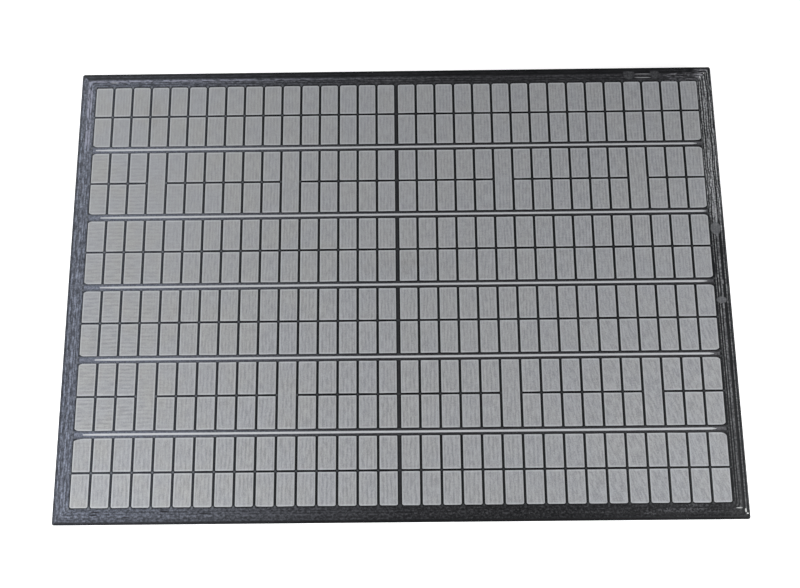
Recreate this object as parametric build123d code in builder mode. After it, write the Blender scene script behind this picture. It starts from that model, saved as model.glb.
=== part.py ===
from math import radians, tan
from build123d import *
import os

os.makedirs("parts", exist_ok=True)

# A shaker screen panel: a moulded plastic grid frame that holds a stack of three wire cloths.
# The frame is moulded round a welded steel skeleton, and its ribs run up through the cloths,
# so fused lands stand over every rib. X runs along the panel's length, Y across it and Z up.
# The origin is the centre of the underside.

# Overall size
panel_length = 1067.0
panel_width = 737.0
panel_height = 25.0
corner_radius = 4.0

# The grid seen from above: columns along X, bands of two window rows along Y
column_count = 32
band_count = 6
rail_width = 25.4
column_rib = 3.6
centre_rib = 6.2
band_rib = 12.0
row_rib = 3.4

# Columns whose two windows are one tall window, counted in from either end, and their bands
open_columns = [4, 11]
open_bands = [2, 5]

# Light ribs under the cloths: drafted column ribs, and shallower row ribs with a wedge section
column_rib_depth = 14.0
row_rib_depth = 9.0
draft_angle = 1.0

# Wire cloths, from the fine one on top to the coarse one that backs it
top_mesh_thickness = 0.15
middle_mesh_thickness = 0.2
backing_mesh_thickness = 0.6
cloth_margin = 4.0

# Fused lands over the cloths: flat ones, and a low bead over each row rib
land_thickness = 0.4
bead_height = 0.25

# Cloth left open along the middle of each band rib, with pointed ends
open_strip_width = 3.8
open_strip_point = 6.0
open_strip_margin = 38.0

# Ring grooves round the top of the rails
groove_count = 4
groove_width = 0.9
groove_depth = 0.2
groove_pitch = 4.8

# Steel skeleton inside the plastic
bar_thickness = 5.0
bar_cover = 6.0
cross_bar_size = 3.0

# Heights
land_floor = panel_height - land_thickness
cloth_stack = top_mesh_thickness + middle_mesh_thickness + backing_mesh_thickness
cloth_floor = land_floor - cloth_stack

# Windows share what the rails and ribs leave of the panel
field_length = panel_length - 2 * rail_width
field_width = panel_width - 2 * rail_width
column_ribs_total = centre_rib + (column_count - 2) * column_rib
window_length = (field_length - column_ribs_total) / column_count
row_ribs_total = (band_count - 1) * band_rib + band_count * row_rib
window_width = (field_width - row_ribs_total) / (2 * band_count)
band_width = 2 * window_width + row_rib
column_pitch = window_length + column_rib
band_pitch = band_width + band_rib
half_count = column_count // 2

# Places of rails, ribs and windows
rail_x = (panel_length - rail_width) / 2
rail_y = (panel_width - rail_width) / 2
first_window = (centre_rib + window_length) / 2
right_windows = [first_window + i * column_pitch for i in range(half_count)]
right_ribs = [x + column_pitch / 2 for x in right_windows[:-1]]
window_places = [side * x for side in (-1, 1) for x in right_windows]
column_rib_places = [side * x for side in (-1, 1) for x in right_ribs]
band_rib_places = [(i - band_count / 2) * band_pitch for i in range(1, band_count)]
band_places = [(i + 0.5 - band_count / 2) * band_pitch for i in range(band_count)]


def row_rib_runs(band):
    """The stretches of X that a band's row rib covers: it stops at each tall window."""
    stops = [-rail_x, rail_x]
    if band in open_bands:
        open_places = [right_windows[half_count - column] for column in open_columns]
        for x in open_places + [-x for x in open_places]:
            stops += [x - column_pitch / 2, x + column_pitch / 2]
    stops.sort()
    return zip(stops[0::2], stops[1::2])


def rib_section(width, depth):
    """A rib's section under the cloths: its top lies on local X, and its foot is narrower."""
    foot = width - 2 * depth * tan(radians(draft_angle))
    return Trapezoid(foot, depth, 90 + draft_angle, align=(Align.CENTER, Align.MAX))


def wedge_section(width, height):
    """A wedge with its base on local X, pointing up, or down where the height is negative."""
    return Polygon((-width / 2, 0), (width / 2, 0), (0, height), align=None)


def row_wedges(height, base):
    """A wedge along each run of every row rib, with its base at one level."""
    with BuildPart() as wedges:
        for band, y in enumerate(band_places, start=1):
            for start, end in row_rib_runs(band):
                with BuildSketch(Plane.YZ.offset(start)):
                    with Locations((y, base)):
                        wedge_section(row_rib, height)
                extrude(amount=end - start)
    return wedges.part


def cloth(thickness, floor):
    """One wire cloth, cut to end inside the panel's rim."""
    with BuildPart() as sheet:
        with BuildSketch(Plane.XY.offset(floor)):
            Rectangle(panel_length - 2 * cloth_margin, panel_width - 2 * cloth_margin)
        extrude(amount=thickness)
    return sheet.part


def bar(size_x, size_y, size_z, place):
    """A square-edged steel bar that stands on its place."""
    with BuildPart() as steel:
        with Locations(place):
            Box(size_x, size_y, size_z, align=(Align.CENTER, Align.CENTER, Align.MIN))
    return steel.part


# The wire cloths, one on another
middle_floor = cloth_floor + backing_mesh_thickness
top_floor = middle_floor + middle_mesh_thickness
cloths = {
    "backing_mesh": cloth(backing_mesh_thickness, cloth_floor),
    "middle_mesh": cloth(middle_mesh_thickness, middle_floor),
    "top_mesh": cloth(top_mesh_thickness, top_floor),
}

# The steel skeleton: the end bars butt between the side bars, and the band bars between the
# end bars, all at one height. The cross bar passes under them along the centre rib.
bar_height = cloth_floor - 2 * bar_cover
side_bar_length = 2 * rail_x + bar_thickness
end_bar_length = 2 * rail_y - bar_thickness
band_bar_length = 2 * rail_x - bar_thickness
cross_bar_length = 2 * rail_y + bar_thickness
cross_bar_floor = bar_cover - cross_bar_size

skeleton = {
    "side_bar_front": bar(side_bar_length, bar_thickness, bar_height, (0, -rail_y, bar_cover)),
    "side_bar_back": bar(side_bar_length, bar_thickness, bar_height, (0, rail_y, bar_cover)),
    "end_bar_left": bar(bar_thickness, end_bar_length, bar_height, (-rail_x, 0, bar_cover)),
    "end_bar_right": bar(bar_thickness, end_bar_length, bar_height, (rail_x, 0, bar_cover)),
    "cross_bar": bar(cross_bar_size, cross_bar_length, cross_bar_size, (0, 0, cross_bar_floor)),
}
for number, y in enumerate(band_rib_places, start=1):
    band_bar = bar(band_bar_length, bar_thickness, bar_height, (0, y, bar_cover))
    skeleton[f"band_bar_{number}"] = band_bar

# The lands over the cloths: the panel's outline with one opening for each column in each band,
# and a strip of cloth left open along each band rib
strip_end = panel_length / 2 - open_strip_margin
strip_side = strip_end - open_strip_point
half_strip = open_strip_width / 2
with BuildPart() as lands:
    with BuildSketch(Plane.XY.offset(land_floor)):
        RectangleRounded(panel_length, panel_width, corner_radius)
        with Locations(*[(x, y) for x in window_places for y in band_places]):
            Rectangle(window_length, band_width, mode=Mode.SUBTRACT)
        with Locations(*[(0, y) for y in band_rib_places]):
            Polygon(
                (-strip_end, 0), (-strip_side, -half_strip), (strip_side, -half_strip),
                (strip_end, 0), (strip_side, half_strip), (-strip_side, half_strip),
                align=None, mode=Mode.SUBTRACT,
            )
    extrude(amount=land_thickness)

    # Ring grooves round the rails, the first one over the cloths' edge
    with BuildSketch(Plane.XY.offset(panel_height)):
        for ring in range(groove_count):
            inset = cloth_margin + ring * groove_pitch
            inner = inset + groove_width
            Rectangle(panel_length - 2 * inset, panel_width - 2 * inset)
            Rectangle(panel_length - 2 * inner, panel_width - 2 * inner, mode=Mode.SUBTRACT)
    extrude(amount=-groove_depth, mode=Mode.SUBTRACT)

    # Beads of plastic over the row ribs
    add(row_wedges(bead_height, land_floor))

# The moulded frame
with BuildPart() as frame:
    # Rails with drafted inner walls, and the rim that stands round the cloths
    with BuildSketch():
        RectangleRounded(panel_length, panel_width, corner_radius)
    extrude(amount=land_floor)
    add(cloths.values(), mode=Mode.SUBTRACT)
    with BuildSketch(Plane.XY.offset(cloth_floor)):
        Rectangle(field_length, field_width)
    extrude(amount=-cloth_floor, taper=-draft_angle, mode=Mode.SUBTRACT)

    # Column ribs, and the deeper centre rib
    with BuildSketch(Plane.XZ):
        with Locations(*[(x, cloth_floor) for x in column_rib_places]):
            rib_section(column_rib, column_rib_depth)
        with Locations((0, cloth_floor)):
            rib_section(centre_rib, cloth_floor)
    extrude(amount=rail_y, both=True)

    # Band ribs, as deep as the rails
    with BuildSketch(Plane.YZ):
        with Locations(*[(y, cloth_floor) for y in band_rib_places]):
            rib_section(band_rib, cloth_floor)
    extrude(amount=rail_x, both=True)

    # Row ribs, room for the skeleton, and the lands joined on round the rim
    add(row_wedges(-row_rib_depth, cloth_floor))
    add(skeleton.values(), mode=Mode.SUBTRACT)
    add(lands.part)
frame.part.label = "frame"
export_step(frame.part, "parts/frame.step", write_pcurves=False)

for name, piece in {**cloths, **skeleton}.items():
    piece.label = name
    export_step(piece, f"parts/{name}.step")
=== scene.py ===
# %% [markdown]
# # A shaker screen panel
# The panel is a black moulded grid, fused through a stack of steel wire cloths. It lies flat and
# is seen from almost straight above, so nearly everything that the eye reads is the pattern of
# windows, the low relief of the plastic that has melted over the cloth, and the cloth's own grey.
# The frame below holds the solids at their real size. This script adds the melted relief as a
# mesh of its own, gives every surface a finish, and lights the panel plainly.

# %% Load the frame
import math

import bmesh
import bpy
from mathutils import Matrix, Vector, noise


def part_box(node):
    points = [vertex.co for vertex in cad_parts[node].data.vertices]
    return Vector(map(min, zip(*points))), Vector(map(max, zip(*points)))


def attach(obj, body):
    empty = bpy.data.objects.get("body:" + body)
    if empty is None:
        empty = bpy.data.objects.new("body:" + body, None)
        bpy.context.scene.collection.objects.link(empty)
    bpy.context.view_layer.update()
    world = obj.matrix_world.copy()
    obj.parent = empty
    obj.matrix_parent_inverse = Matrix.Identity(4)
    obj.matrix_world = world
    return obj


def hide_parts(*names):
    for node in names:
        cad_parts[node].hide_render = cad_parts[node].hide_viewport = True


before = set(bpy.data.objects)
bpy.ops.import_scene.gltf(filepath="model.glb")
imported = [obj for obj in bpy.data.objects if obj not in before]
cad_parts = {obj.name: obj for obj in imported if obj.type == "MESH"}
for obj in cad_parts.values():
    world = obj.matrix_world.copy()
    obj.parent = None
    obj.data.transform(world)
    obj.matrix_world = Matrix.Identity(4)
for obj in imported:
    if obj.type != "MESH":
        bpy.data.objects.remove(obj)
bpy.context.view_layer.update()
print("nodes", sorted(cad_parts))

# %% [markdown]
# ## The grid's sizes
# Everything in the relief follows the same few sizes as the moulding: how many columns and bands
# there are, how wide each kind of rib is, and how wide the rails are. The windows share what is
# left over, so their size is worked out and not stated.

# %% Sizes of the moulding
MM = 0.001
low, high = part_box("frame")
half_length = (high[0] - low[0]) / 2
half_width = (high[1] - low[1]) / 2
land_top = high[2]
cloth_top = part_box("top_mesh")[1][2]

column_count = 32
band_count = 6
rail = 25.4 * MM
column_rib = 3.6 * MM
centre_rib = 6.2 * MM
band_rib = 12.0 * MM
row_rib = 3.4 * MM
open_columns = [4, 11]
open_bands = [2, 5]

half_count = column_count // 2
ribs_along = centre_rib + (column_count - 2) * column_rib
window_length = (2 * (half_length - rail) - ribs_along) / column_count
ribs_across = (band_count - 1) * band_rib + band_count * row_rib
window_width = (2 * (half_width - rail) - ribs_across) / (2 * band_count)
column_pitch = window_length + column_rib
row_pitch = window_width + row_rib
band_pitch = 2 * window_width + row_rib + band_rib
first_window = (centre_rib + window_length) / 2
print("window", round(window_length / MM, 2), "by", round(window_width / MM, 2), "mm")

# %% [markdown]
# ## Melted relief
# Where the plastic has come up through the cloth it stands as low rounded beads over the ribs,
# and as a wide skin over the rails. A flat sheet cut with windows would look like paper, so each
# window gets a ring of faces of its own: it starts at the window's edge on the cloth, climbs to
# the crown of the bead and meets the next window's ring there. The rings tile the whole grid.

# %% Loops of points round a window
corner_steps = 6
side_points = (4, 2)
corner_sides = ((1, -1), (1, 1), (-1, 1), (-1, -1))


def between(a, b, share):
    """The point that lies a share of the way from a to b."""
    return a[0] + (b[0] - a[0]) * share, a[1] + (b[1] - a[1]) * share


def rounded_loop(x0, x1, y0, y1, radii, steps, extras):
    """Points round a rectangle from its right-hand front corner. Each corner has two radii."""
    arcs = []
    for turn, (sx, sy) in enumerate(corner_sides):
        rx, ry = radii[turn]
        cx = (x1 if sx > 0 else x0) - sx * rx
        cy = (y1 if sy > 0 else y0) - sy * ry
        arc = []
        for step in range(steps + 1):
            angle = math.radians(-90 + 90 * turn + 90 * step / steps)
            arc.append((cx + rx * math.cos(angle), cy + ry * math.sin(angle)))
        arcs.append(arc)
    loop = []
    for turn, arc in enumerate(arcs):
        loop += arc
        extra = extras[turn % 2]
        for number in range(1, extra + 1):
            loop.append(between(arc[-1], arcs[(turn + 1) % 4][0], number / (extra + 1)))
    return loop


def cell_loop(hole, x0, x1, y0, y1):
    """Points on the cell's rectangle that pair with the window's points, corners among them."""
    corners = [(x1, y0), (x1, y1), (x0, y1), (x0, y0)]
    half = corner_steps // 2
    loop = []
    at = 0
    for turn, corner in enumerate(corners):
        first = hole[at]
        last = hole[at + corner_steps]
        upright = turn % 2 == 0
        start = (first[0], corner[1]) if upright else (corner[0], first[1])
        end = (corner[0], last[1]) if upright else (last[0], corner[1])
        for step in range(corner_steps + 1):
            if step <= half:
                loop.append(between(start, corner, step / half))
            else:
                loop.append(between(corner, end, (step - half) / half))
        at += corner_steps + 1
        for point in hole[at:at + side_points[turn % 2]]:
            loop.append((corner[0], point[1]) if upright else (point[0], corner[1]))
        at += side_points[turn % 2]
    return loop


print("points round a window", 4 * (corner_steps + 1) + 2 * sum(side_points))

# %% [markdown]
# ### Which rib lies on each side
# A column rib is crowned high, a row rib low, and a band rib has two lands with bare cloth
# between them, so a ring beside a band rib comes down again at the bare strip. Beside a rail the
# ring ends a few millimetres out, at a kerb where the rail's own skin takes over. Each window's
# cell is worked out from its column and row, with the kind of rib that lies on each side.

# %% Cells of the grid
kerb = 3.2 * MM
strip_seen = 3.1 * MM
crowns = {
    "column": land_top,
    "centre": land_top,
    "row": land_top - 0.08 * MM,
    "strip": cloth_top + 0.1 * MM,
    "rail": land_top - 0.16 * MM,
}


def column_sides(column):
    """Window edges and cell edges in X for a column counted from the left, and its side ribs."""
    side = -1 if column < half_count else 1
    steps_out = half_count - 1 - column if side < 0 else column - half_count
    middle = side * (first_window + steps_out * column_pitch)
    inner = (centre_rib / 2, "centre") if steps_out == 0 else (column_rib / 2, "column")
    outer = (kerb, "rail") if steps_out == half_count - 1 else (column_rib / 2, "column")
    left, right = (outer, inner) if side < 0 else (inner, outer)
    x0, x1 = middle - window_length / 2, middle + window_length / 2
    return x0, x1, x0 - left[0], x1 + right[0], (left[1], right[1])


def row_sides(band, rows):
    """Window edges and cell edges in Y for rows of a band counted from the front, and its ribs."""
    middle = (band + 0.5 - band_count / 2) * band_pitch
    land = (band_rib - strip_seen) / 2
    front = back = (row_rib / 2, "row")
    y0 = middle + row_rib / 2
    y1 = middle - row_rib / 2
    if 0 in rows:
        y0 = middle - row_rib / 2 - window_width
        front = (kerb, "rail") if band == 0 else (land, "strip")
    if 1 in rows:
        y1 = middle + row_rib / 2 + window_width
        back = (kerb, "rail") if band == band_count - 1 else (land, "strip")
    return y0, y1, y0 - front[0], y1 + back[0], (front[1], back[1])


def is_open(column, band):
    """True where a column's two windows in a band are one tall window."""
    counted = min(column, column_count - 1 - column) + 1
    return counted in open_columns and band + 1 in open_bands


open_cells = sum(is_open(c, b) for c in range(column_count) for b in range(band_count))
print("tall windows", open_cells)

# %% [markdown]
# ### How round each corner is
# Between ribs the plastic leaves small round corners. It pools more beside the rails, and most
# where a band rib meets an end rail, so those corners are long and low. In the front band both
# have slumped further than elsewhere, and the left-hand one most, as the photo shows.

# %% Corners of the windows
plain_corner = (1.3 * MM, 1.3 * MM)
rail_corner = (3.3 * MM, 3.3 * MM)
band_corner = (7.5 * MM, 4.6 * MM)
slumped_corner = (22.0 * MM, 4.6 * MM)
deep_corner = (9.0 * MM, 7.0 * MM)


def corner_radius(column, band, side_x, side_y, rows):
    """How round the melted plastic leaves one corner of a window."""
    at_end = (column == 0 and side_x < 0) or (column == column_count - 1 and side_x > 0)
    band_edge = (side_y < 0 and 0 in rows) or (side_y > 0 and 1 in rows)
    by_rail = (band == 0 and side_y < 0) or (band == band_count - 1 and side_y > 0)
    if at_end and band_edge and band == 0 and side_y > 0:
        return slumped_corner if side_x < 0 else deep_corner
    if at_end and band_edge and not by_rail:
        return band_corner
    if band_edge and by_rail:
        return rail_corner
    return plain_corner


print("longest corner", round(max(slumped_corner) / MM, 1), "mm")

# %% [markdown]
# ### Rings of melted plastic
# The edge of each window wanders by a few tenths of a millimetre, as melted plastic does. The
# wander comes from one smooth noise over the panel, and only the edge on the cloth moves, so
# neighbouring rings still meet.

# %% Build the rings
ring_steps = [(0.0, 0.0), (0.16, 0.55), (0.36, 0.88), (0.62, 1.0), (1.0, 1.0)]
edge_wander = 0.32 * MM
wander_scale = 42.0
same_place = 1e-6


def wandered(point, nearest):
    """A window edge's point, moved towards or away from its pair on the cell by the noise."""
    reach = Vector((nearest[0] - point[0], nearest[1] - point[1]))
    amount = noise.noise(Vector((point[0] * wander_scale, point[1] * wander_scale, 0)))
    step = reach.normalized() * edge_wander * amount
    return point[0] + step.x, point[1] + step.y


def add_ring(mesh, column, band, rows):
    """One window's ring: its rounded top, and its flat underside on the cloth."""
    x0, x1, left, right, kinds_x = column_sides(column)
    y0, y1, front, back, kinds_y = row_sides(band, rows)
    radii = [corner_radius(column, band, sx, sy, rows) for sx, sy in corner_sides]
    even = rounded_loop(x0, x1, y0, y1, radii, corner_steps, side_points)
    cell = cell_loop(even, left, right, front, back)
    hole = [wandered(point, pair) for point, pair in zip(even, cell)]
    loops = []
    for reach, climb in ring_steps:
        loop = []
        for (hx, hy), (cx, cy) in zip(hole, cell):
            edges = ((cx, left), (cx, right), (cy, front), (cy, back))
            sides = [kind for kind, (at, edge) in zip(kinds_x + kinds_y, edges)
                     if abs(at - edge) < same_place]
            crown = max(crowns["column" if side == "strip" else side] for side in sides)
            if reach == 1.0 and "strip" in sides:
                crown = crowns["strip"]
            z = cloth_top + (crown - cloth_top) * climb
            loop.append(mesh.verts.new((hx + (cx - hx) * reach, hy + (cy - hy) * reach, z)))
        loops.append(loop)
    loops.append([mesh.verts.new((cx, cy, cloth_top)) for cx, cy in cell])
    pairs = list(zip(loops[:-2], loops[1:-1])) + [(loops[-1], loops[0])]
    for inner, outer in pairs:
        count = len(inner)
        for i in range(count):
            j = (i + 1) % count
            mesh.faces.new((inner[i], outer[i], outer[j], inner[j]))


skin = bmesh.new()
for column in range(column_count):
    for band in range(band_count):
        if is_open(column, band):
            add_ring(skin, column, band, (0, 1))
        else:
            add_ring(skin, column, band, (0,))
            add_ring(skin, column, band, (1,))
print("ring faces", len(skin.faces))

# %% [markdown]
# ### Ends of the bare strips
# Each bare strip thins out and stops short of the rails, each one at its own place. Beyond its
# end the plastic closes over the cloth in a low tongue. The taper is long at the left-hand ends
# and short at the right-hand ones, and each tongue is two flat faces, one on each side of the
# strip's middle.

# %% Tongues at the strips' ends
strip_ends = [(494, 493), (483, 499), (482, 498), (488, 506), (503, 500)]
tapers = {-1: 26.0 * MM, 1: 7.0 * MM}
blunt_tips = {-1: 0.9 * MM, 1: 0.45 * MM}
tongue_out = half_length - rail + kerb
half_seen = strip_seen / 2
for number, ends in enumerate(strip_ends, start=1):
    y = (number - band_count / 2) * band_pitch
    for side, end in zip((-1, 1), ends):
        tip = end * MM
        full = tip - tapers[side]
        outline = [(tip, blunt_tips[side]), (tip, 0.0), (tongue_out, 0.0),
                   (tongue_out, half_seen), (full, half_seen)]
        for flank in (-1, 1):
            skin.faces.new([skin.verts.new((side * px, y + flank * py, crowns["strip"]))
                            for px, py in outline])
print("skin faces with tongues", len(skin.faces))

# %% [markdown]
# ### Skin over the rails
# The rails carry fine ridges that run round the panel parallel to its edges and turn at the
# corners. They are one profile of places in from the edge and depths below the top, carried
# round the panel as loops. The first loops are the outer wall and its small rounded edge. The
# ridges wander a little, like the windows' edges.

# %% Rail skin
rail_profile = [
    (0.3, 25.0), (0.0, 24.7), (0.0, 0.7), (0.15, 0.35), (0.45, 0.12), (0.9, 0.03), (1.7, 0.0),
    (2.6, 0.06), (3.4, 0.22), (4.1, 0.2), (4.9, 0.05), (5.7, 0.03), (6.7, 0.15), (8.0, 0.24),
    (9.6, 0.24), (10.8, 0.18), (12.0, 0.04), (13.1, 0.0), (14.1, 0.06), (15.2, 0.2), (16.1, 0.16),
    (17.1, 0.04), (18.0, 0.1), (19.1, 0.22), (20.2, 0.14), (21.2, 0.08), (22.2, 0.16),
]
outline_corner = 4.0 * MM
rim_corner = 1.0 * MM
ridge_corner = 9.0 * MM
square_corner = 0.02 * MM
ridges_start = 3.0 * MM
ridges_end = 22.0 * MM
corner_growth = 0.45
rail_corner_steps = 8
rail_points = (36, 52)
rim_blend = 5.0 * MM
kerb_blend = 4.0 * MM
ridge_wander = 0.7 * MM
ridge_scale = 16.0
ridge_step = 90.0


def ridge_radius(inset):
    """A loop's corner radius: the outline's, then rounder, and square where the cells start."""
    if inset <= ridges_start:
        return max(outline_corner - inset, rim_corner)
    if inset > ridges_end:
        return square_corner
    return min(outline_corner + corner_growth * (inset - ridges_start), ridge_corner)


def ridge_freedom(inset):
    """How far a loop may wander: not at the rim or the kerb, and fully between them."""
    from_rim = min(max(inset - ridges_start, 0) / rim_blend, 1)
    from_kerb = min(max(ridges_end - inset, 0) / kerb_blend, 1)
    return ridge_wander * from_rim * from_kerb


def rail_loop(mesh, inset, z):
    """Points round the rails at one distance in from the edge."""
    x, y = half_length - inset, half_width - inset
    radii = [(ridge_radius(inset),) * 2] * 4
    free = ridge_freedom(inset)
    loop = []
    for px, py in rounded_loop(-x, x, -y, y, radii, rail_corner_steps, rail_points):
        at = Vector((px * ridge_scale, py * ridge_scale, inset * ridge_step))
        swing = noise.noise(at) * free
        on_end_rail = abs(px) / half_length > abs(py) / half_width
        px, py = (px + swing, py) if on_end_rail else (px, py + swing)
        loop.append(mesh.verts.new((px, py, z)))
    return loop


loops = [rail_loop(skin, inset * MM, land_top - depth * MM) for inset, depth in rail_profile]
for outer, inner in zip(loops, loops[1:]):
    count = len(outer)
    for i in range(count):
        j = (i + 1) % count
        skin.faces.new((outer[i], outer[j], inner[j], inner[i]))
print("skin faces with rails", len(skin.faces))

# %% [markdown]
# ### The frame below the cloths
# The rest of the moulding keeps the solid's own faces: the drafted rails, the column and row
# ribs and the slot that the cloths lie in. Only its top relief and its outer wall come from the
# new skin, so the solid's faces there are taken out first.

# %% Lower part of the frame
solid_top = cloth_top - 0.05 * MM
near = 0.01 * MM
upright_face = 0.1
lower = bmesh.new()
lower.from_mesh(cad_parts["frame"].data)


def on_outline(vert):
    """True for a point on the panel's outer wall."""
    x, y = abs(vert.co.x), abs(vert.co.y)
    corner = x > half_length - outline_corner - near and y > half_width - outline_corner - near
    return x > half_length - near or y > half_width - near or corner


spare = [
    face for face in lower.faces
    if all(vert.co.z > solid_top for vert in face.verts)
    or (abs(face.normal.z) < upright_face and all(on_outline(vert) for vert in face.verts))
]
bmesh.ops.delete(lower, geom=spare, context="FACES")
for face in lower.faces:
    face.material_index = 0
print("faces kept from the solid", len(lower.faces))

# %% [markdown]
# ### Which way the skin's faces look
# Faces made one by one can look inwards. Those that lie flat on the cloth have to look down, the
# rest of the top looks up, and the outer wall looks away from the middle. The top takes the fused
# plastic and the wall takes the plain moulded one, because no cloth reaches it.

# %% Turn the skin's faces
merge_reach = 0.004 * MM
on_cloth = cloth_top + 0.001 * MM
wall_tilt = 0.02
bmesh.ops.remove_doubles(skin, verts=skin.verts, dist=merge_reach)
skin.normal_update()
turned = 0
for face in skin.faces:
    middle = face.calc_center_median()
    face.material_index = 1 if middle.z > land_top - MM else 0
    face.smooth = True
    flat_under = all(vert.co.z < on_cloth for vert in face.verts) and middle.z > cloth_top - MM
    if abs(face.normal.z) > wall_tilt:
        wrong = (face.normal.z < 0) != flat_under
    else:
        wrong = face.normal.x * middle.x + face.normal.y * middle.y < 0
    if wrong:
        face.normal_flip()
        turned += 1
print("faces turned", turned)

# %% [markdown]
# ### One mesh for the frame
# Skin and lower part become one object. It rides on the panel's body and stands in for the
# frame's solid.

# %% Join the skin to the lower part
skin_data = bpy.data.meshes.new("fused_skin")
skin.to_mesh(skin_data)
skin.free()
lower.from_mesh(skin_data)
frame_data = bpy.data.meshes.new("moulded_frame")
lower.to_mesh(frame_data)
lower.free()
bpy.data.meshes.remove(skin_data)
moulded_frame = bpy.data.objects.new("moulded_frame", frame_data)
bpy.context.scene.collection.objects.link(moulded_frame)
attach(moulded_frame, "root")
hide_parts("frame")
print("frame triangles", sum(len(face.vertices) - 2 for face in frame_data.polygons))

# %% [markdown]
# ## Finishes
# The shared effects are node groups, so that a mark is worked out once and every material that
# needs it takes the same one. Their nodes are many and alike, and the first small helpers only
# place them and join them.

# %% Helpers for groups and values


def new_group(name, inputs, outputs):
    """A shader node group with named sockets, and its input and output nodes."""
    tree = bpy.data.node_groups.new(name, "ShaderNodeTree")
    for socket, kind in inputs:
        tree.interface.new_socket(socket, in_out="INPUT", socket_type=kind)
    for socket in outputs:
        tree.interface.new_socket(socket, in_out="OUTPUT", socket_type="NodeSocketFloat")
    return tree, tree.nodes.new("NodeGroupInput"), tree.nodes.new("NodeGroupOutput")


def feed(tree, socket, value):
    """Gives a socket a link or a plain value."""
    if isinstance(value, bpy.types.NodeSocket):
        tree.links.new(value, socket)
    else:
        socket.default_value = value


def maths(tree, operation, *values):
    """One math node, and the socket that it puts out."""
    node = tree.nodes.new("ShaderNodeMath")
    node.operation = operation
    for socket, value in zip(node.inputs, values):
        feed(tree, socket, value)
    return node.outputs[0]


def chained(tree, operation, values):
    """Several values joined by one operation, one after another."""
    result = values[0]
    for value in values[1:]:
        result = maths(tree, operation, result, value)
    return result


def product(tree, *values):
    """Several values multiplied."""
    return chained(tree, "MULTIPLY", values)


def total(tree, *values):
    """Several values added up."""
    return chained(tree, "ADD", values)


def largest(tree, *values):
    """The largest of several values."""
    return chained(tree, "MAXIMUM", values)


def mixed(tree, mask, first, second):
    """Two values mixed by a mask."""
    change = maths(tree, "SUBTRACT", second, first)
    return maths(tree, "MULTIPLY_ADD", mask, change, first)


def ramp(tree, value, start, end, low=0.0, high=1.0):
    """A value that goes from low at start to high at end, smoothly, and stays there."""
    node = tree.nodes.new("ShaderNodeMapRange")
    node.interpolation_type = "SMOOTHSTEP"
    feed(tree, node.inputs["Value"], value)
    ends = {"From Min": start, "From Max": end, "To Min": low, "To Max": high}
    for name, number in ends.items():
        feed(tree, node.inputs[name], number)
    return node.outputs["Result"]


def distance_from(tree, value, middle):
    """How far a value is from a middle one, on either side."""
    return maths(tree, "ABSOLUTE", maths(tree, "SUBTRACT", value, middle))


# %% [markdown]
# A noise of Blender's keeps nearly all of its values in a narrow range round one half, so one
# helper spreads that range. The colour mixer has a socket of each kind under the same names, and
# its colour sockets are told apart by their places in the list.

# %% Helpers for colours, noises and places
noise_range = (0.36, 0.64)
colour_inputs = (6, 7)
colour_output = 2


def blend_colours(tree, mask, first, second, mode="MIX"):
    """Two colours mixed by a mask."""
    node = tree.nodes.new("ShaderNodeMix")
    node.data_type = "RGBA"
    node.blend_type = mode
    feed(tree, node.inputs["Factor"], mask)
    for socket, colour in zip(colour_inputs, (first, second)):
        feed(tree, node.inputs[socket], colour)
    return node.outputs[colour_output]


def cloudy(tree, vector, scale, detail=3.0, roughness=0.55):
    """A noise texture's value."""
    node = tree.nodes.new("ShaderNodeTexNoise")
    feed(tree, node.inputs["Vector"], vector)
    node.inputs["Scale"].default_value = scale
    node.inputs["Detail"].default_value = detail
    node.inputs["Roughness"].default_value = roughness
    return node.outputs["Fac"]


def spread(tree, noise_value, low, high):
    """A noise's values spread from low to high."""
    return ramp(tree, noise_value, *noise_range, low, high)


def vector_maths(tree, operation, first, second):
    """One vector math node, and the vector that it puts out."""
    node = tree.nodes.new("ShaderNodeVectorMath")
    node.operation = operation
    feed(tree, node.inputs[0], first)
    feed(tree, node.inputs[1], second)
    return node.outputs[0]


def streaked(tree, place, x, y, detail=2.0, roughness=0.6):
    """A noise with a scale of its own along X and along Y, for marks that run one way."""
    stretched = vector_maths(tree, "MULTIPLY", place, (x, y, 1.0))
    return cloudy(tree, stretched, 1.0, detail, roughness)


def parts_of(tree, vector):
    """X, Y and Z of a place."""
    node = tree.nodes.new("ShaderNodeSeparateXYZ")
    tree.links.new(vector, node.inputs[0])
    return node.outputs


def use_group(tree, group, **values):
    """A node group placed in a tree, its inputs fed by name, and its outputs."""
    node = tree.nodes.new("ShaderNodeGroup")
    node.node_tree = group
    for name, value in values.items():
        feed(tree, node.inputs[name.replace("_", " ").title()], value)
    return node.outputs


# %% [markdown]
# ### Where on the panel a point is
# Several marks follow the panel's plan: the painted highlight where cloth slopes down beside a
# rib, the bare strips, the joints where ribs cross. One group turns a place into those distances.
# It folds the panel over its middle and then repeats with the pitch of the ribs, which takes a
# few nodes, where a mask painted for every window would take thousands.

# %% Group: panel plan, distances in from the edge and from the windows' sides
corner_blend = 6 * MM
plan, plan_in, plan_out = new_group(
    "panel plan",
    [("Place", "NodeSocketVector")],
    ["Inset", "Edge", "Beside", "Strip", "Joint"],
)
x, y, _ = parts_of(plan, plan_in.outputs["Place"])
along = maths(plan, "ABSOLUTE", x)
across = maths(plan, "ABSOLUTE", y)
inset_x = maths(plan, "SUBTRACT", half_length, along)
inset_y = maths(plan, "SUBTRACT", half_width, across)
inset = maths(plan, "SMOOTH_MIN", inset_x, inset_y, corner_blend)
plan.links.new(inset, plan_out.inputs["Inset"])

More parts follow.
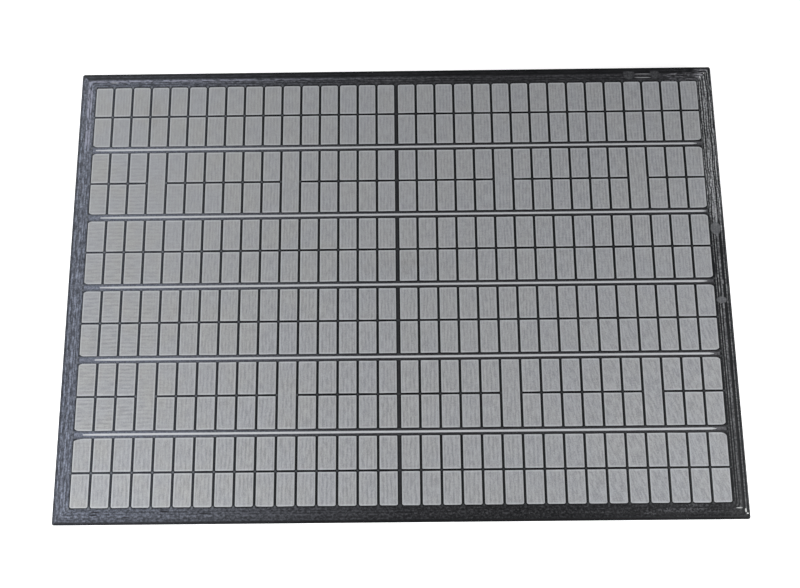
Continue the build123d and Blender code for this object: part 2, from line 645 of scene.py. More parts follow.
from_first = distance_from(plan, along, first_window)
off_column = maths(plan, "PINGPONG", from_first, column_pitch / 2)
edge_x = maths(plan, "SUBTRACT", window_length / 2, off_column)
plan.links.new(edge_x, plan_out.inputs["Beside"])
from_front = maths(plan, "ADD", y, band_count / 2 * band_pitch)
off_band = distance_from(plan, maths(plan, "MODULO", from_front, band_pitch), band_pitch / 2)
off_row = distance_from(plan, off_band, row_pitch / 2)
edge_y = maths(plan, "SUBTRACT", window_width / 2, off_row)
print("plan repeats every", round(column_pitch / MM, 2), "by", round(band_pitch / MM, 2), "mm")

# %% [markdown]
# The tall windows have no row rib, so the painted highlight beside the ribs must not cross
# them. A mask of their columns and bands swaps in the distance from the tall window's own ends.

# %% Panel plan: the tall windows
tall = 0.0
for column in open_columns:
    middle = first_window + (half_count - column) * column_pitch
    in_column = maths(plan, "LESS_THAN", distance_from(plan, along, middle), column_pitch / 2)
    tall = maths(plan, "ADD", tall, in_column)
open_middle = (band_count / 2 - open_bands[0] + 0.5) * band_pitch
in_band = maths(plan, "LESS_THAN", distance_from(plan, across, open_middle), band_pitch / 2)
edge_tall = maths(plan, "SUBTRACT", window_width + row_rib / 2, off_band)
edge_ends = mixed(plan, product(plan, tall, in_band), edge_y, edge_tall)
plan.links.new(maths(plan, "MINIMUM", edge_x, edge_ends), plan_out.inputs["Edge"])
print("bands with tall windows lie", round(open_middle / MM, 1), "mm off the middle")

# %% [markdown]
# The bare strips run along the middle of the band ribs, and there is none in the front and back
# rails. Where a column rib meets a row rib, a land or the kerb of a rail, the plastic has flowed
# together and its skin is paler, so the joints get a mask too.

# %% Panel plan: strips and joints
land_line = 4 * MM
kerb_line = 0.6 * MM
in_rail = ramp(plan, inset_y, rail + 20 * MM, rail + 10 * MM)
off_strip = maths(plan, "ADD", maths(plan, "SUBTRACT", band_pitch / 2, off_band), in_rail)
plan.links.new(off_strip, plan_out.inputs["Strip"])

off_rib = maths(plan, "SUBTRACT", column_pitch / 2, off_column)
off_land = distance_from(plan, off_strip, land_line)
off_kerb = maths(plan, "SUBTRACT", distance_from(plan, inset_y, rail - kerb_line), kerb_line)
off_crossing = maths(plan, "MINIMUM", off_band, maths(plan, "MINIMUM", off_land, off_kerb))
near_column = ramp(plan, off_rib, 2.4 * MM, 0.7 * MM)
near_crossing = ramp(plan, off_crossing, 2.2 * MM, 0.6 * MM)
plan.links.new(product(plan, near_column, near_crossing), plan_out.inputs["Joint"])
print("panel plan nodes", len(plan.nodes))

# %% [markdown]
# ### Marks
# Rubbed patches, dashes and scratches are small ovals at places of their own. One group makes
# the mask of an oval from its centre and reach.

# %% Group: oval mark
oval, oval_in, oval_out = new_group(
    "oval mark",
    [("Place", "NodeSocketVector"), ("Centre", "NodeSocketVector"), ("Reach", "NodeSocketVector")],
    ["Mask"],
)
away = vector_maths(oval, "SUBTRACT", oval_in.outputs["Place"], oval_in.outputs["Centre"])
share = vector_maths(oval, "DIVIDE", away, oval_in.outputs["Reach"])
share_x, share_y, _ = parts_of(oval, share)
squares = [maths(oval, "POWER", part, 2.0) for part in (share_x, share_y)]
oval.links.new(ramp(oval, total(oval, *squares), 1.2, 0.6), oval_out.inputs["Mask"])


def marks(tree, place, ovals):
    """The mask of several ovals, each a centre and a reach in millimetres."""
    covered = 0.0
    for centre_x, centre_y, reach_x, reach_y in ovals:
        mask = use_group(
            tree, oval, place=place,
            centre=(centre_x * MM, centre_y * MM, 0), reach=(reach_x * MM, reach_y * MM, 1),
        )["Mask"]
        covered = maths(tree, "MAXIMUM", covered, mask)
    return covered


print("oval mark nodes", len(oval.nodes))

# %% [markdown]
# ### Which rail a point is on
# Each rail has a look of its own, and the looks meet on the corners' diagonals. This group gives
# one mask for each rail, and one for the two end rails together.

# %% Group: rail masks
sides, sides_in, sides_out = new_group(
    "rail masks", [("Place", "NodeSocketVector")], ["Left", "Right", "Front", "Back", "Upright"]
)
x, y, _ = parts_of(sides, sides_in.outputs["Place"])
inset_x = maths(sides, "SUBTRACT", half_length, maths(sides, "ABSOLUTE", x))
inset_y = maths(sides, "SUBTRACT", half_width, maths(sides, "ABSOLUTE", y))
by_end = ramp(sides, maths(sides, "SUBTRACT", inset_y, inset_x), -1.5 * MM, 1.5 * MM)
by_side = maths(sides, "SUBTRACT", 1.0, by_end)
upright = product(sides, by_end, ramp(sides, inset_x, rail + MM, rail - MM))
lengthwise = product(sides, by_side, ramp(sides, inset_y, rail + MM, rail - MM))
masks = {
    "Left": product(sides, upright, maths(sides, "LESS_THAN", x, 0.0)),
    "Right": product(sides, upright, maths(sides, "GREATER_THAN", x, 0.0)),
    "Front": product(sides, lengthwise, maths(sides, "LESS_THAN", y, 0.0)),
    "Back": product(sides, lengthwise, maths(sides, "GREATER_THAN", y, 0.0)),
    "Upright": upright,
}
for name, mask in masks.items():
    sides.links.new(mask, sides_out.inputs[name])
print("rail masks", list(masks))

# %% [markdown]
# ### Bare wire in the plastic
# The rails are the cloths' own edges with plastic pressed through them, so the wires show there
# as a grey under the black, brightest on the ridges and broken into streaks and specks. How much
# shows differs along each rail, so this group is built rail by rail. It starts with what they
# all use: streaks that run along each rail, specks of single wires, and the ridges' crests.
# Where a mask starts and ends along X or Y is given in metres from the panel's middle.

# %% Group: bare wire, its streaks, specks and crests
bare, bare_in, bare_out = new_group(
    "bare wire",
    [("Place", "NodeSocketVector"), ("Inset", "NodeSocketFloat"), ("Strip", "NodeSocketFloat")],
    ["Bare", "Right", "Streak", "Speck"],
)
place = bare_in.outputs["Place"]
inset = bare_in.outputs["Inset"]
x, y, z = parts_of(bare, place)
on_rail = use_group(bare, sides, place=place)
bare.links.new(on_rail["Right"], bare_out.inputs["Right"])

grain_upright = streaked(bare, place, 330.0, 75.0)
grain_level = streaked(bare, place, 105.0, 330.0)
streaks = mixed(bare, on_rail["Upright"], grain_level, grain_upright)
streaky = spread(bare, streaks, 0.5, 1.5)
speck = cloudy(bare, place, 330.0, 2.0, 0.6)
speckle = spread(bare, speck, 0.72, 1.28)
bare.links.new(speck, bare_out.inputs["Speck"])
crest = ramp(bare, z, land_top - 0.19 * MM, land_top - 0.04 * MM)
print("streaks, specks and crests", len(bare.nodes), "nodes")

# %% [markdown]
# ### Wire of the end rails
# The left rail is grey all over, and its ridges only a little lighter. The right rail is darker
# and lined: plain ridges in front, and fine wavy lines along its back half. Those come from a
# sine of the distance from the edge, which a noise pushes to and fro.

# %% Bare wire: the left and right rails
wave_pitch = 4.1 * MM
wave_wobble = 11 * MM
left_level = maths(bare, "MULTIPLY_ADD", crest, 0.38, 0.56)
left_bare = product(bare, on_rail["Left"], left_level, streaky)

wavy = ramp(bare, y, 0.07, 0.12)
wobble = maths(bare, "MULTIPLY", streaked(bare, place, 40.0, 24.0, roughness=0.55), wave_wobble)
wave_turns = product(bare, maths(bare, "ADD", inset, wobble), 2 * math.pi / wave_pitch)
wave = maths(bare, "SINE", wave_turns)
waved = total(bare, product(bare, crest, 0.45), maths(bare, "MULTIPLY_ADD", wave, 0.29, 0.27))
right_lines = ramp(bare, mixed(bare, wavy, crest, waved), 0.2, 0.8, 0.06, 1.35)
drawn_out = spread(bare, streaked(bare, place, 300.0, 26.0), 0.6, 1.4)
right_rise = ramp(bare, y, 0.06, 0.14, 0.36, 1.0)
right_fall = ramp(bare, y, 0.18, 0.3, 0.0, -0.2)
right_front = ramp(bare, y, -0.34, -0.06, 0.55, 1.0)
right_level = product(bare, maths(bare, "ADD", right_rise, right_fall), right_front)
right_bare = product(bare, on_rail["Right"], right_level, right_lines, drawn_out, speckle)
print("with the end rails", len(bare.nodes), "nodes")

# %% [markdown]
# ### Wire of the back rail
# It darkens to the right and has a dark outer band. Near its right-hand end the plastic is torn
# into long streaks, and on the corner the right rail's ridges carry on.

# %% Bare wire: the back rail
back_left = ramp(bare, x, -0.42, -0.08, 0.85, 0.36)
back_right = ramp(bare, x, -0.05, 0.15, 0.0, -0.15)
torn = ramp(bare, streaked(bare, place, 75.0, 400.0), 0.5, 0.6)
far_back = product(bare, ramp(bare, x, 0.44, 0.47), torn, 0.9)
back_level = total(bare, back_left, back_right, far_back)
outer_dim = ramp(bare, inset, 8.5 * MM, 11 * MM, 0.24, 1.0)
back_lines = product(bare, outer_dim, maths(bare, "MULTIPLY_ADD", crest, 0.6, 0.4))
back_lined = product(bare, back_level, back_lines, streaky)
corner_lined = product(bare, ramp(bare, x, 0.5, 0.518, 0.0, 0.9), right_lines)
back_bare = product(bare, on_rail["Back"], maths(bare, "ADD", back_lined, corner_lined))
print("with the back rail", len(bare.nodes), "nodes")

# %% [markdown]
# ### Wire of the front rail
# It is more specked than streaked. The grey fades out towards the right, where only the largest
# specks are left in the black.

# %% Bare wire: the front rail, and all rails together
mottle = streaked(bare, place, 190.0, 330.0)
front_left = product(bare, ramp(bare, x, -0.62, 0.2, 0.68, 0.0), spread(bare, mottle, 0.5, 1.5))
large_specks = total(bare, ramp(bare, mottle, 0.45, 0.62), ramp(bare, speck, 0.45, 0.62))
front_right = product(bare, ramp(bare, x, -0.2, 0.16, 0.0, 0.11), large_specks)
front_level = maths(bare, "ADD", front_left, front_right)
front_rim = ramp(bare, inset, 4.2 * MM, 7.0 * MM, 0.35, 1.0)
front_lines = product(bare, front_rim, maths(bare, "MULTIPLY_ADD", crest, 0.4, 0.66))
front_bare = product(bare, on_rail["Front"], front_level, front_lines)

rails_bare = total(bare, left_bare, right_bare, back_bare, front_bare)
rim_dark = ramp(bare, inset, 2.4 * MM, 4.4 * MM, 0.35, 1.0)
kerb_dark = ramp(bare, inset, 24.6 * MM, 23.2 * MM, 0.3, 1.0)
rails_grained = product(bare, rails_bare, speckle, rim_dark, kerb_dark)
print("with all rails", len(bare.nodes), "nodes")

# %% [markdown]
# ### Wire of the ribs
# The ribs are solid black plastic and show little. The lands beside the bare strips are thin, so
# the cloth greys them, most at the left and next to the strip. The thick centre rib has a
# slightly lighter line along its middle.

# %% Bare wire: the ribs and lands, and the whole level
wire_share = 0.62
off_strip = bare_in.outputs["Strip"]
rib_level = ramp(bare, x, -0.5, -0.12, 0.16, 0.005)
centre_line = ramp(bare, maths(bare, "ABSOLUTE", x), 1.9 * MM, 0.9 * MM)
centre_level = product(bare, centre_line, 0.09)
on_land = ramp(bare, off_strip, 6.5 * MM, 5.0 * MM)
land_level = ramp(bare, x, -0.5, 0.02, 0.6, 0.08)
by_strip = product(bare, ramp(bare, off_strip, 3.6 * MM, 1.6 * MM), 0.4)
land_bare = product(bare, on_land, maths(bare, "ADD", land_level, by_strip))
ribs_bare = product(bare, largest(bare, rib_level, centre_level, land_bare), speckle)
off_rail = ramp(bare, inset, rail - MM, rail + MM)
bare_level = maths(bare, "ADD", rails_grained, product(bare, ribs_bare, off_rail))
bare.links.new(maths(bare, "MULTIPLY", bare_level, wire_share), bare_out.inputs["Bare"])
print("with the ribs", len(bare.nodes), "nodes")

# %% [markdown]
# ### Rubbed streaks
# Round the left-hand back corner the crests are rubbed down to the wire in pale, broken streaks:
# two lines of them down the left rail, and one that fades out along the back rail.

# %% Bare wire: rubbed streaks
first_line = product(bare, ramp(bare, inset, 10.8 * MM, 12.2 * MM),
                     ramp(bare, inset, 15.6 * MM, 14.2 * MM))
second_line = product(bare, ramp(bare, inset, 15.8 * MM, 16.6 * MM),
                      ramp(bare, inset, 19.4 * MM, 18.4 * MM))
down_left = product(bare, on_rail["Left"], ramp(bare, y, 0.225, 0.25), 0.6)
along_back = product(bare, on_rail["Back"], ramp(bare, x, -0.02, -0.42), 0.45)
rubbed = total(bare, product(bare, down_left, maths(bare, "ADD", first_line, second_line)),
               product(bare, along_back, first_line))
breaks = maths(bare, "ADD", streaks, cloudy(bare, place, 60.0, 3.0, 0.7))
broken = ramp(bare, breaks, 0.84, 1.04)
bare.links.new(product(bare, rubbed, broken), bare_out.inputs["Streak"])
print("bare wire nodes", len(bare.nodes))

# %% [markdown]
# ### Starting a material
# Every material begins in the same way, with a Principled shader and the place on the panel.
# Object coordinates are used, because the panel's pieces all share its frame, so a mark that
# crosses from one piece to another carries on.

# %% Material helpers


def new_material(name):
    """A material with a Principled shader, and its tree, shader and place on the panel."""
    made = bpy.data.materials.new(name)
    made.use_nodes = True
    tree = made.node_tree
    shader = tree.nodes["Principled BSDF"]
    place = tree.nodes.new("ShaderNodeTexCoord").outputs["Object"]
    return made, tree, shader, place


def bump(tree, shader, height, distance, strength):
    """A height that tilts the shader's normal."""
    node = tree.nodes.new("ShaderNodeBump")
    node.inputs["Strength"].default_value = strength
    node.inputs["Distance"].default_value = distance
    tree.links.new(height, node.inputs["Height"])
    tree.links.new(node.outputs["Normal"], shader.inputs["Normal"])


# %% [markdown]
# ### Plastic grain
# Both finishes of the plastic have a fine roughness, and wide clouds where the moulding cooled
# unevenly. So the grain is one group, and each material takes it at a strength of its own.

# %% Group: plastic grain
grain, grain_in, grain_out = new_group(
    "plastic grain", [("Place", "NodeSocketVector")], ["Cloud", "Height"]
)
fine = cloudy(grain, grain_in.outputs["Place"], 900.0, 2.0)
cloud = cloudy(grain, grain_in.outputs["Place"], 14.0, 4.0)
grain.links.new(cloud, grain_out.inputs["Cloud"])
grain.links.new(maths(grain, "ADD", fine, cloud), grain_out.inputs["Height"])
print("plastic grain nodes", len(grain.nodes))

# %% [markdown]
# ### Moulded plastic
# The sides and the underside left a smooth tool: black, satin and slightly cloudy. The top has
# come up through the cloth, so it is grainier, and further down it gets a material of its own.

# %% Moulded plastic of the sides and underside
moulded, tree, shader, place = new_material("moulded plastic")
grained = use_group(tree, grain, place=place)
tree.links.new(
    blend_colours(tree, grained["Cloud"], (0.008, 0.0085, 0.01, 1), (0.018, 0.019, 0.022, 1)),
    shader.inputs["Base Color"],
)
tree.links.new(ramp(tree, grained["Cloud"], 0.3, 0.7, 0.38, 0.55), shader.inputs["Roughness"])
shader.inputs["Specular IOR Level"].default_value = 0.35
bump(tree, shader, grained["Height"], 0.05 * MM, 0.3)
print("moulded plastic nodes", len(tree.nodes))

# %% [markdown]
# ### Marks on the top
# Handling has left marks on the rails: rubbed patches and smudges, pale lines and scratches, and
# dark dashes where the plastic lies closed. Each one is an oval where the photo shows it, given
# in millimetres from the panel's middle as a centre and a reach each way.

# %% Marks on the fused plastic
patches = [(519, 87, 8.5, 11), (518.5, -31, 8.5, 5.5), (395, 358, 9.5, 11), (438.5, 358, 7.5, 11)]
smudges = [(433, -353.5, 42, 3.2), (382, -358, 10, 2.6), (455, -347, 20, 2.2),
           (478, 345.5, 26, 2.0)]
pale_lines = [(418, 357.2, 14, 0.8), (418, 350.7, 14, 0.9), (516, 8, 0.9, 3),
              (516.4, -13, 0.9, 6), (523, -1.5, 0.7, 4), (528.5, -11, 0.6, 6),
              (522.5, 113, 0.8, 16), (518.5, 117, 0.8, 12), (-478, 353, 7, 0.9)]
scratches = [(517.5, -351.5, 5, 0.6), (527, -355, 1.3, 3.2), (529.5, -359.5, 1.5, 1.1),
             (514.6, 350.4, 0.9, 2.2), (521.5, 357, 0.8, 1.4)]
dark_dashes = [(-471, -353.5, 7, 1.1), (-467, -349, 5, 0.8), (-362, -349, 6, 1.2),
               (-300, -352, 8, 1.0), (-420, -357, 6, 0.8), (-395, 366, 30, 1.5),
               (512, 20, 0.9, 12), (524, 12, 0.9, 16), (519, -16, 0.8, 8), (525.5, -20, 0.9, 6)]
print("marks", sum(map(len, (patches, smudges, pale_lines, scratches, dark_dashes))))

# %% [markdown]
# ### Fused plastic
# The top is black plastic, and the bare wire's grey is mixed over it: bluish at the left,
# where a painted sheen of the left window's light lies over the wire's grey, plain in the middle
# and lightest on the right rail.

# %% Fused plastic: black and the wire's grey
plastic_black = (0.0042, 0.0045, 0.0055, 1)
# Bluish at the left: the wire's grey with a painted sheen of the left window's light.
left_grey_and_sheen = (0.27, 0.293, 0.368, 1)
middle_grey = (0.325, 0.32, 0.345, 1)
right_grey = (0.47, 0.475, 0.49, 1)
fused, tree, shader, place = new_material("fused plastic")
grained = use_group(tree, grain, place=place)
where = use_group(tree, plan, place=place)
wire = use_group(tree, bare, place=place, inset=where["Inset"], strip=where["Strip"])
x, _, _ = parts_of(tree, place)
# Towards the left the grey turns bluish, a painted sheen of the left window's light.
grey = blend_colours(tree, ramp(tree, x, -0.5, 0.1), left_grey_and_sheen, middle_grey)
grey = blend_colours(tree, wire["Right"], grey, right_grey)
colour = blend_colours(tree, wire["Bare"], plastic_black, grey)
print("fused plastic before its marks", len(tree.nodes), "nodes")

# %% [markdown]
# The marks lie over both. They are a list of masks and shades that is worked through in order,
# so a later one covers an earlier one. The wire's specks break up the patches and smudges, so
# that they look rubbed and not painted on.

# %% Fused plastic: marks, rubbed streaks and joints
specked = ramp(tree, wire["Speck"], 0.4, 0.6)
dull = blend_colours(tree, specked, (0.045, 0.046, 0.05, 1), (0.085, 0.086, 0.09, 1))
bright = blend_colours(tree, specked, (0.13, 0.132, 0.14, 1), (0.18, 0.183, 0.19, 1))
patch_grey = blend_colours(tree, ramp(tree, x, 0.48, 0.5), dull, bright)
off_rim = ramp(tree, where["Inset"], 5 * MM, 7.5 * MM, 0.0, 0.9)
torn_in_specks = ramp(tree, wire["Speck"], 0.36, 0.7, 0.0, 0.7)
left_joint, right_joint = (0.16, 0.17, 0.19, 1), (0.045, 0.047, 0.05, 1)
joint_grey = blend_colours(tree, ramp(tree, x, -0.45, 0.05), left_joint, right_joint)
layers = [
    (product(tree, marks(tree, place, patches), off_rim), patch_grey),
    (product(tree, marks(tree, place, smudges), torn_in_specks), (0.11, 0.11, 0.12, 1)),
    (marks(tree, place, dark_dashes), (0.012, 0.012, 0.016, 1)),
    (wire["Streak"], (0.4, 0.4, 0.5, 1)),
    (marks(tree, place, pale_lines), (0.32, 0.32, 0.33, 1)),
    (marks(tree, place, scratches), (0.75, 0.75, 0.74, 1)),
    (product(tree, where["Joint"], 0.8), joint_grey),
]
for mask, shade in layers:
    colour = blend_colours(tree, mask, colour, shade)
tree.links.new(colour, shader.inputs["Base Color"])
tree.links.new(ramp(tree, grained["Cloud"], 0.3, 0.7, 0.42, 0.62), shader.inputs["Roughness"])
shader.inputs["Specular IOR Level"].default_value = 0.22
bump(tree, shader, grained["Height"], 0.08 * MM, 0.4)
frame_data.materials.append(moulded)
frame_data.materials.append(fused)
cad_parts["frame"].data.materials[0] = moulded
print("fused plastic nodes", len(tree.nodes))

# %% [markdown]
# ### Wire cloth
# The wires are far finer than a pixel. What shows is an even grey, fine lines where the fine
# cloth and the coarse one beat against each other, and a lighter rim beside each rib, which is a
# painted highlight where the cloth slopes down to the rib and would catch the light. Modelling
# the wires would take millions of faces, so the material draws the lines: a sine for the even
# beat, a drawn-out noise that makes it uneven, and a fine noise for grain.

# %% Group: cloth lines, the weave and two kinds of line
weave, weave_in, weave_out = new_group(
    "cloth lines",
    [("Place", "NodeSocketVector"), ("Pitch", "NodeSocketFloat")],
    ["Beat", "Height"],
)
place = weave_in.outputs["Place"]
x, y, _ = parts_of(weave, place)
turns = maths(weave, "DIVIDE", 2 * math.pi, weave_in.outputs["Pitch"])
warp, weft = (maths(weave, "SINE", product(weave, part, turns)) for part in (x, y))
weave.links.new(product(weave, warp, weft), weave_out.inputs["Height"])
slow_wander = product(weave, cloudy(weave, place, 12.0, 1.0, 0.5), 9.0)


def uneven_lines(angle, pitch):
    """Soft uneven lines across the cloth, turned from upright by an angle in degrees."""
    turned = weave.nodes.new("ShaderNodeVectorRotate")
    turned.rotation_type = "Z_AXIS"
    weave.links.new(place, turned.inputs["Vector"])
    turned.inputs["Angle"].default_value = math.radians(angle)
    return streaked(weave, turned.outputs["Vector"], 1 / pitch, 0.2 / pitch)


def even_lines(part, pitch):
    """Fine even lines at a pitch, with a slow wander so that they aren't dead straight."""
    angle = maths(weave, "MULTIPLY_ADD", part, 2 * math.pi / pitch, slow_wander)
    return maths(weave, "SINE", angle)


print("weave and wander", len(weave.nodes), "nodes")

# %% [markdown]
# The cloths aren't stretched alike everywhere, so the lines change direction. They stand upright
# over most of the panel, lie level at the left and slant at the right-hand front, and some cross
# the upright ones at the right-hand back. Behind the two front bands the even lines lie closer.

# %% Cloth lines: where each direction shows
slanted = product(weave, ramp(weave, x, 0.14, 0.36), ramp(weave, y, 0.1, -0.12))
off_middle = maths(weave, "ABSOLUTE", y)
level = product(weave, ramp(weave, x, -0.3, -0.46), ramp(weave, off_middle, 0.28, 0.2))
upright = maths(weave, "SUBTRACT", 1.0, largest(weave, slanted, level))
crossing = product(weave, ramp(weave, x, -0.1, 0.1), ramp(weave, y, -0.05, 0.08), 0.4)
uneven = total(
    weave,
    product(weave, slanted, uneven_lines(-18.0, 3.2 * MM)),
    product(weave, level, uneven_lines(90.0, 3.4 * MM)),
    product(weave, upright, uneven_lines(0.0, 3.0 * MM)),
    product(weave, crossing, maths(weave, "SUBTRACT", uneven_lines(90.0, 2.9 * MM), 0.5)),
)
behind = ramp(weave, y, -0.14, -0.1)
even_upright = mixed(weave, behind, even_lines(x, 6.3 * MM), even_lines(x, 5.3 * MM))
even = total(
    weave,
    product(weave, level, even_lines(y, 6.0 * MM)),
    product(weave, upright, even_upright),
)
print("with the directions", len(weave.nodes), "nodes")

# %% [markdown]
# Even lines, uneven lines and grain are added up, each with its own share. The sum swings the
# grey most in front and at the right, and least behind and at the left, as in the photo.

# %% Cloth lines: how strong they are
even_share = 0.19
uneven_share = 0.55
grain_share = 1.9
half_swing = uneven_share / 2
grain_noise = maths(weave, "SUBTRACT", cloudy(weave, place, 560.0, 2.0, 0.7), 0.5)
strength = total(
    weave,
    ramp(weave, y, 0.3, -0.3, 0.65, 1.0),
    ramp(weave, x, -0.1, -0.45, 0.0, -0.22),
    ramp(weave, x, 0.05, 0.3, 0.0, 0.2),
)
swing = total(
    weave,
    product(weave, even, even_share),
    ramp(weave, uneven, 0.34, 0.66, -half_swing, half_swing),
    product(weave, grain_noise, grain_share),
)
beat = maths(weave, "MULTIPLY_ADD", swing, strength, 0.5)
weave.links.new(beat, weave_out.inputs["Beat"])
print("cloth lines nodes", len(weave.nodes))

# %% [markdown]
# ### Grey of the cloth
# One function makes the material of any cloth, from a dark and a pale grey and the weave's
# pitch. Faint tints keep the grey from being flat, and a few wide smears of dirt lie over it.
# Beside each rib the cloth gets a painted highlight where its slope would catch the light, and
# the bare strips are lighter, partly burnished and partly a painted highlight of the raised
# cloth. Right beside a column rib a thin dark line runs: plastic soaked into the wires, and
# painted contact shade at the rib's foot.

# %% Wire cloth materials
smears = [(12, 28, 80, 13), (-120, 60, 40, 8), (-410, 300, 14, 30), (-470, 255, 12, 20)]
warm_tint = (1.0, 0.99, 0.95, 1)
cool_tint = (0.965, 0.975, 1.0, 1)
dirt_tint = (0.86, 0.85, 0.83, 1)
# Rim highlight, strip highlight and rib-foot shade below are painted, the last two in part.
rim_highlight_grey = (0.62, 0.63, 0.65, 1)
burnished_and_highlit_grey = (0.625, 0.632, 0.652, 1)
soaked_and_shade_black = (0.01, 0.01, 0.011, 1)


def cloth_material(name, dark, pale, pitch):
    """A wire cloth seen from a step away."""
    made, tree, shader, place = new_material(name)
    lines = use_group(tree, weave, place=place, pitch=pitch)
    where = use_group(tree, plan, place=place)
    x, _, _ = parts_of(tree, place)
    patchy = ramp(tree, cloudy(tree, place, 16.0, 4.0, 0.6), 0.3, 0.7)
    warm = product(tree, patchy, ramp(tree, x, 0.2, -0.5, 0.25, 0.9))
    cool = product(tree, ramp(tree, patchy, 1.0, 0.0), 0.7)
    smeared = product(tree, marks(tree, place, smears), patchy, 0.6)
    # Painted highlight beside the ribs, where the cloth's slope would catch the light.
    rim_highlight = ramp(tree, where["Edge"], 3.4 * MM, 0.8 * MM, 0.0, 0.5)
    # Bare strips: partly burnished cloth, partly a painted highlight of the raised cloth.
    burnished_and_highlit_strip = ramp(tree, where["Strip"], 3.0 * MM, 1.6 * MM, 0.0, 0.75)
    # Dark line at a rib's foot: plastic soaked into the wires, and painted contact shade.
    soaked_and_shaded = product(tree, ramp(tree, where["Beside"], 0.5 * MM, 0.2 * MM),
                     ramp(tree, where["Strip"], 4 * MM, 5 * MM))
    colour = blend_colours(tree, lines["Beat"], dark, pale)
    for mask, tint in ((warm, warm_tint), (cool, cool_tint), (smeared, dirt_tint)):
        colour = blend_colours(tree, mask, colour, tint, "MULTIPLY")
    for mask, shade in ((rim_highlight, rim_highlight_grey), (burnished_and_highlit_strip, burnished_and_highlit_grey), (soaked_and_shaded, soaked_and_shade_black)):
        colour = blend_colours(tree, mask, colour, shade)
    tree.links.new(colour, shader.inputs["Base Color"])
    shader.inputs["Metallic"].default_value = 0.2
    shader.inputs["Roughness"].default_value = 0.8
    bump(tree, shader, lines["Height"], 0.1 * MM, 0.3)
    print(name, "nodes", len(tree.nodes))
    return made


fine_greys = ((0.297, 0.299, 0.308, 1), (0.47, 0.473, 0.484, 1))
backing_greys = ((0.2, 0.2, 0.2, 1), (0.34, 0.34, 0.34, 1))
fine_cloth = cloth_material("fine cloth", *fine_greys, 0.4 * MM)
backing_cloth = cloth_material("backing cloth", *backing_greys, 1.27 * MM)
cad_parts["top_mesh"].data.materials[0] = fine_cloth
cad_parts["middle_mesh"].data.materials[0] = fine_cloth
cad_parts["backing_mesh"].data.materials[0] = backing_cloth

# %% [markdown]
# ### Steel
# The skeleton inside the plastic is rolled bar with mill scale, a dark skin that lies in streaks
# along the bar. Nothing of it shows from outside, but a cut-away view would show it.

# %% Steel of the skeleton
rolled, tree, shader, place = new_material("rolled steel")
scale_mask = streaked(tree, place, 20.0, 200.0, detail=4.0, roughness=0.55)
tree.links.new(
    blend_colours(tree, scale_mask, (0.12, 0.12, 0.125, 1), (0.3, 0.3, 0.31, 1)),
    shader.inputs["Base Color"],
)
shader.inputs["Metallic"].default_value = 0.9
shader.inputs["Roughness"].default_value = 0.5
bar_nodes = [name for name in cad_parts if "bar" in name]
for name in bar_nodes:
    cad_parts[name].data.materials[0] = rolled
print("skeleton pieces", len(bar_nodes))

# %% [markdown]
# ## Floor, light and camera
# The panel lies on a white floor. A little light of the floor's own makes it white to the camera
# and to mirrored and clear surfaces, apart from the panel's own soft shadow. Only such rays see
# that light, so it doesn't brighten the panel's dull surfaces.

# %% Floor
floor_reach = 30.0
floor_drop = 0.5 * MM
floor_glow = 0.8
floor_data = bpy.data.meshes.new("floor")
floor_sides = ((-1, -1), (1, -1), (1, 1), (-1, 1))
corners = [(side_x * floor_reach, side_y * floor_reach, 0) for side_x, side_y in floor_sides]
floor_data.from_pydata(corners, [], [(0, 1, 2, 3)])
floor = bpy.data.objects.new("floor", floor_data)
bpy.context.scene.collection.objects.link(floor)
floor.location.z = -floor_drop
white, tree, shader, place = new_material("white floor")
shader.inputs["Base Color"].default_value = (0.8, 0.8, 0.8, 1)
shader.inputs["Roughness"].default_value = 0.9
ray = tree.nodes.new("ShaderNodeLightPath").outputs
seen = largest(tree, ray["Is Camera Ray"], ray["Is Glossy Ray"], ray["Is Transmission Ray"])
glow = tree.nodes.new("ShaderNodeEmission")
both = tree.nodes.new("ShaderNodeAddShader")
tree.links.new(maths(tree, "MULTIPLY", seen, floor_glow), glow.inputs["Strength"])
tree.links.new(shader.outputs[0], both.inputs[0])
tree.links.new(glow.outputs[0], both.inputs[1])
tree.links.new(both.outputs[0], tree.nodes["Material Output"].inputs["Surface"])
floor_data.materials.append(white)
print("floor reaches", floor_reach, "m each way")

# %% [markdown]
# ### World
# The camera and clear surfaces see a white room, and so do mirrored rays that leave low down,
# where a room's bright walls would be. Everything else gets only a weak even light, because a
# bright ceiling would make the black plastic grey.

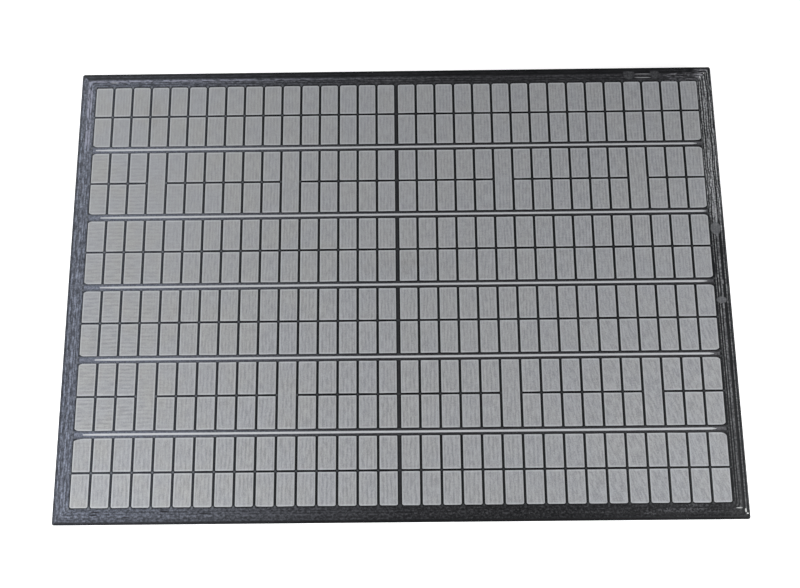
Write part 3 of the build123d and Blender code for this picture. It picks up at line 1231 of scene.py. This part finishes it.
# %% World
room_light = 0.12
white_light = 1.0
world = bpy.data.worlds.new("studio")
bpy.context.scene.world = world
world.use_nodes = True
studio = world.node_tree
background = studio.nodes["Background"]
background.inputs["Color"].default_value = (1, 1, 1, 1)
ray = studio.nodes.new("ShaderNodeLightPath").outputs
direction = studio.nodes.new("ShaderNodeTexCoord").outputs["Generated"]
_, _, upward = parts_of(studio, direction)
mirrored = product(studio, ray["Is Glossy Ray"], ramp(studio, upward, 0.5, 0.3))
seen = largest(studio, ray["Is Camera Ray"], ray["Is Transmission Ray"], mirrored)
room = ramp(studio, seen, 0, 1, room_light, white_light)
feed(studio, background.inputs["Strength"], room)
print("world light", room_light, "and", white_light, "where it is seen")

# %% [markdown]
# ### Lamps
# The cloth is brightest at the left and right and along the front, so three soft lamps share the
# work: a window at the left, a strong lamp off to the right and a small one in front.

# %% Lamps
panel_middle = (0, 0, 0)


def area_lamp(name, place, size, power, colour):
    """A square soft lamp turned towards the panel's middle."""
    data = bpy.data.lights.new(name, "AREA")
    data.size = size
    data.energy = power
    data.color = colour
    lamp = bpy.data.objects.new(name, data)
    lamp.location = place
    aim = Vector(panel_middle) - Vector(place)
    lamp.rotation_euler = aim.to_track_quat("-Z", "Y").to_euler()
    bpy.context.scene.collection.objects.link(lamp)
    print(name, power, "W")


area_lamp("left window", (-1.17, 0.54, 0.8), 1.2, 11.2, (0.96, 0.98, 1.0))
area_lamp("right lamp", (1.97, -1.1, 0.7), 1.2, 63.7, (0.97, 0.985, 1.0))
area_lamp("front lamp", (-0.75, -0.9, 0.5), 0.6, 7.8, (0.97, 0.985, 1.0))

# %% [markdown]
# ### Camera
# The camera stands about a metre above the panel, a little in front of its middle, and tilts
# forwards by nine degrees. Its place, turns and lens were found from where the ribs cross in the
# photo. The lens is a plain one, given by its length in the picture's pixels.

# %% Camera
image_width = 800
focal_pixels = 643.0
camera_place = (8.3, -175.2, 1047.2)
camera_turns = (8.86, 0.374, -0.585)
camera_data = bpy.data.cameras.new("camera")
camera_data.sensor_width = 36.0
camera_data.lens = focal_pixels * camera_data.sensor_width / image_width
camera = bpy.data.objects.new("camera", camera_data)
camera.location = [part * MM for part in camera_place]
camera.rotation_euler = [math.radians(turn) for turn in camera_turns]
bpy.context.scene.collection.objects.link(camera)
bpy.context.scene.camera = camera
bpy.context.scene.view_settings.view_transform = "Standard"
print("lens", round(camera_data.lens, 2), "mm")
